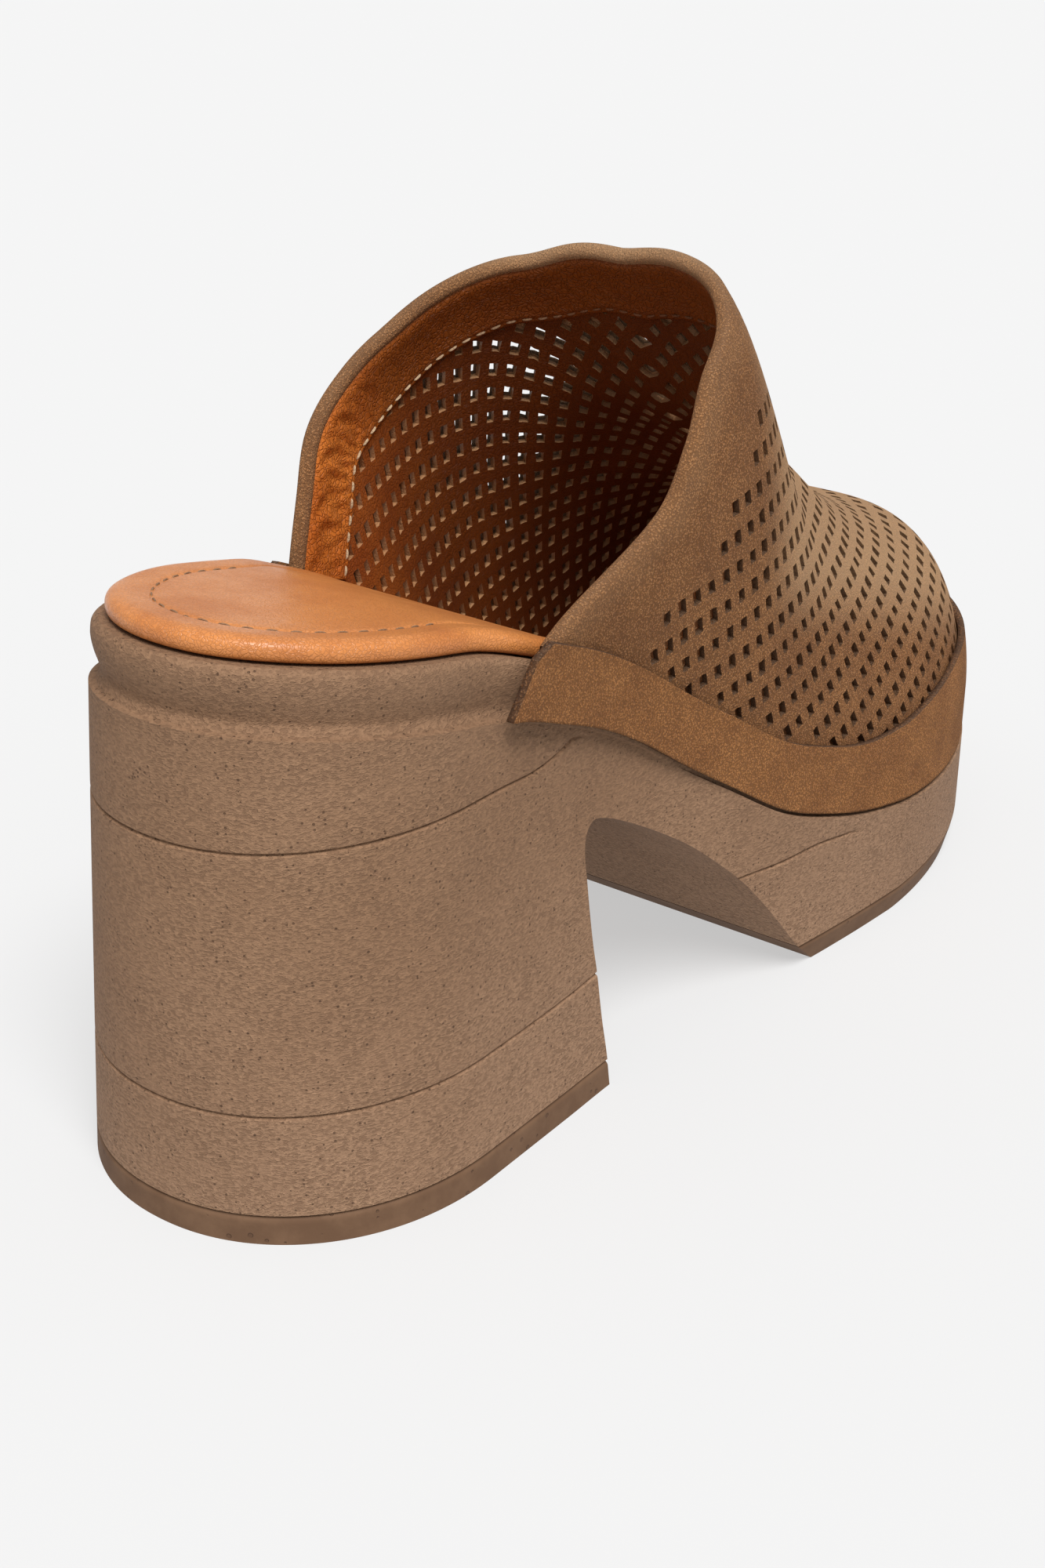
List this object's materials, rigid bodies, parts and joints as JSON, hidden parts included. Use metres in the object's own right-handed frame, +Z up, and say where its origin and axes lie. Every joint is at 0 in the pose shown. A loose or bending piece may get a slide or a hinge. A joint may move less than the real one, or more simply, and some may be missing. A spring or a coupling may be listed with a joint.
{
  "type": "platform mule",
  "caption": "Right platform mule with a tall block heel joined to a thick forefoot platform over an arch, an open-backed perforated upper and a wrapped edge band.",
  "frame": {"origin": "on the floor under the middle of the heel", "axes": "+X towards the toe, +Y towards the wearer's left (the inner side of this right shoe), +Z up"},
  "size_m": [0.23, 0.0874, 0.1316],
  "materials": {
    "outsole_rubber": "smooth satin",
    "sole_foam": "matte moulded foam with fine streaks",
    "insole_leather": "smooth semi-gloss leather",
    "upper_suede": "perforated suede, leather lined",
    "rand_suede": "fine suede"
  },
  "bodies": {
    "root": {"outsole_heel": "outsole_rubber", "outsole_forefoot": "outsole_rubber", "sole_unit": "sole_foam", "insole": "insole_leather", "upper": "upper_suede", "rand": "rand_suede"}
  },
  "joints": []
}
